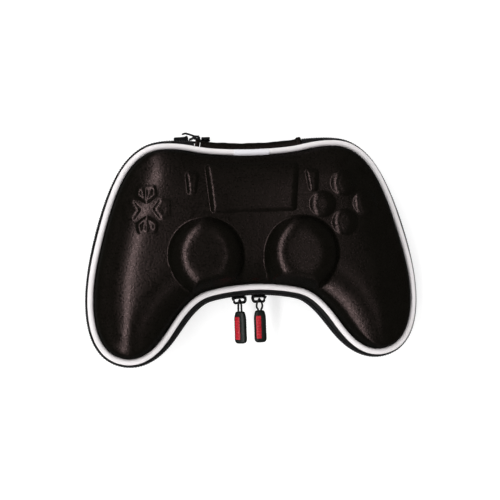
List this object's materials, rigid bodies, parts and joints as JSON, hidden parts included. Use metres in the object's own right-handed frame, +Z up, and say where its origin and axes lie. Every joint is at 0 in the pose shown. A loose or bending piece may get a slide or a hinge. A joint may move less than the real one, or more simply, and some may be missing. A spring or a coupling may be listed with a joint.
{
  "type": "controller carrying case",
  "caption": "Hard moulded zip case in the outline of a game controller, with piped rims, corded zip pulls and a small snap hook.",
  "frame": {"origin": "centre of the part's bounding box, on the surface that the base shell rests on", "axes": "+X across the case to the right seen from above with the grips towards the viewer, +Y towards the cloth hinge at the back, +Z up through the lid"},
  "size_m": [0.2014, 0.1416, 0.0662],
  "materials": {
    "shell_cloth_base": "glossy dark brown-black woven cloth laminated on foam",
    "shell_cloth_lid": "glossy dark brown-black woven cloth laminated on foam",
    "piping_base": "white satin piping",
    "piping_lid": "white satin piping",
    "piping_splice": "white sleeve, slightly cooler than the piping",
    "zip_tape_base": "black woven tape",
    "zip_tape_lid": "black woven tape",
    "zip_coil_base": "black nylon coil",
    "zip_coil_lid": "black nylon coil",
    "hinge_cloth": "black woven cloth",
    "lining_strip": "black knitted lining",
    "zip_end_left": "folded black cloth",
    "zip_end_right": "folded black cloth",
    "slider_left": "black lacquered die casting",
    "slider_right": "black lacquered die casting",
    "cord_left": "black round cord",
    "cord_right": "black round cord",
    "tab_left": "dark grey-green moulded rubber",
    "tab_right": "dark grey-green moulded rubber",
    "insert_left": "red moulded strip",
    "insert_right": "red moulded strip",
    "webbing": "black webbing",
    "hook_metal": "black lacquered die casting",
    "gate_metal": "dark spring steel",
    "pin_metal": "dark steel"
  },
  "bodies": {
    "base": {"base_shell": "shell_cloth_base", "base_piping": "piping_base", "zip_tape_base": "zip_tape_base", "zip_coil_base": "zip_coil_base", "hinge_band": "hinge_cloth", "hinge_lining": "lining_strip", "zip_end_left": "zip_end_left", "zip_end_right": "zip_end_right", "strap_tab": "webbing"},
    "lid": {"lid_shell": "shell_cloth_lid", "lid_piping": "piping_lid", "piping_splice": "piping_splice", "zip_tape_lid": "zip_tape_lid", "zip_coil_lid": "zip_coil_lid"},
    "slider_left": {"slider_left": "slider_left"},
    "slider_right": {"slider_right": "slider_right"},
    "pull_left": {"pull_cord_left": "cord_left", "pull_tab_left": "tab_left", "pull_insert_left": "insert_left"},
    "pull_right": {"pull_cord_right": "cord_right", "pull_tab_right": "tab_right", "pull_insert_right": "insert_right"},
    "hook": {"hook_body": "hook_metal", "gate_pin": "pin_metal"},
    "gate": {"hook_gate": "gate_metal"}
  },
  "joints": [
    {"name": "lid_hinge", "type": "hinge", "parent": "base", "child": "lid", "pos_m": [0, 0.06669, 0.034], "axis": [-1, 0, 0], "range_deg": [0, 180]},
    {"name": "slider_left_travel", "type": "hinge", "parent": "base", "child": "slider_left", "pos_m": [0, -0.14501, 0.034], "axis": [0, 0, 1], "range_deg": [0, 5.6]},
    {"name": "slider_right_travel", "type": "hinge", "parent": "base", "child": "slider_right", "pos_m": [0, -0.14501, 0.034], "axis": [0, 0, 1], "range_deg": [-8.4, 0]},
    {"name": "pull_left_swing", "type": "hinge", "parent": "slider_left", "child": "pull_left", "pos_m": [-0.00846, -0.03443, 0.034], "axis": [1, 0, 0], "range_deg": [-90, 90]},
    {"name": "pull_right_swing", "type": "hinge", "parent": "slider_right", "child": "pull_right", "pos_m": [0.0035, -0.03417, 0.034], "axis": [1, 0, 0], "range_deg": [-90, 90]},
    {"name": "hook_swing", "type": "hinge", "parent": "base", "child": "hook", "pos_m": [-0.0256, 0.06579, 0.0268], "axis": [0, -1, 0], "range_deg": [0, 170]},
    {"name": "gate_press", "type": "hinge", "parent": "hook", "child": "gate", "pos_m": [-0.031, 0.06739, 0.0268], "axis": [0, 0, 1], "range_deg": [0, 5], "stiffness_Nm_per_rad": 0.01, "springref_deg": -11.46}
  ]
}
